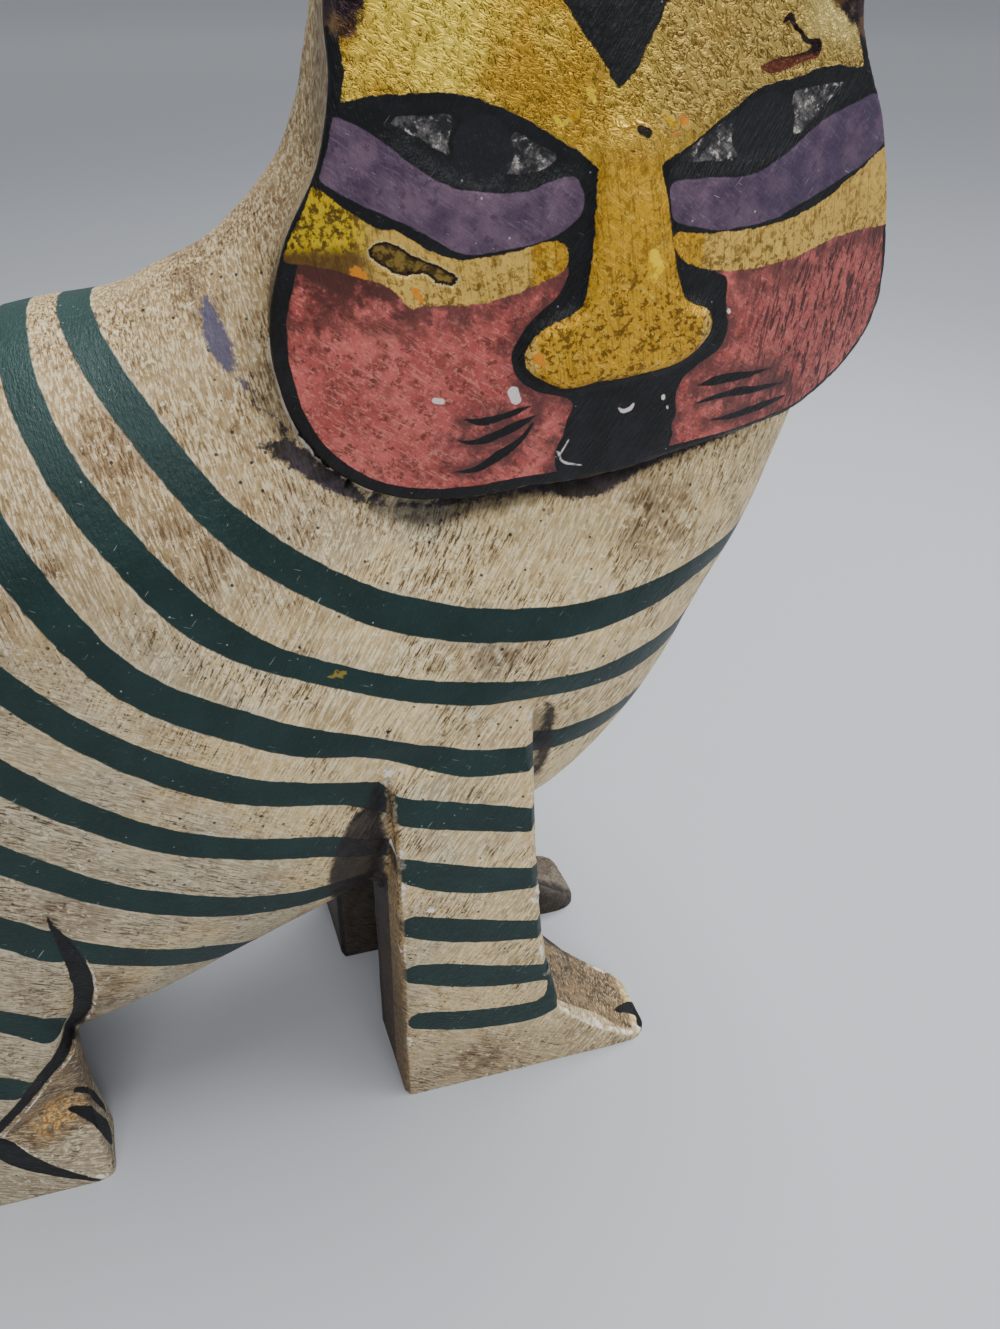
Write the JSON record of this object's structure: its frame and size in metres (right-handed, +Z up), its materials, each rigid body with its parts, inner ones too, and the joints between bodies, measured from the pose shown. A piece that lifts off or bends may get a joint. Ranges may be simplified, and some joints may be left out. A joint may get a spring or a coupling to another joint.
{
  "type": "carved wooden cat figurine",
  "caption": "Standing cat carved from one thick plank, head turned to its side, painted with stripes and a gilded face",
  "frame": {"origin": "centre of the overall box, at the level of the soles", "axes": "+X forward along the cat to its chest, +Y to its left side, +Z up; the turned head looks along -Y"},
  "size_m": [0.2936, 0.0852, 0.3001],
  "materials": {
    "painted_wood": "brushed cream paint with dark green stripes, gilded and pink face, satin varnish, worn at the edges"
  },
  "bodies": {
    "root": {"cat": "painted_wood"}
  },
  "joints": []
}
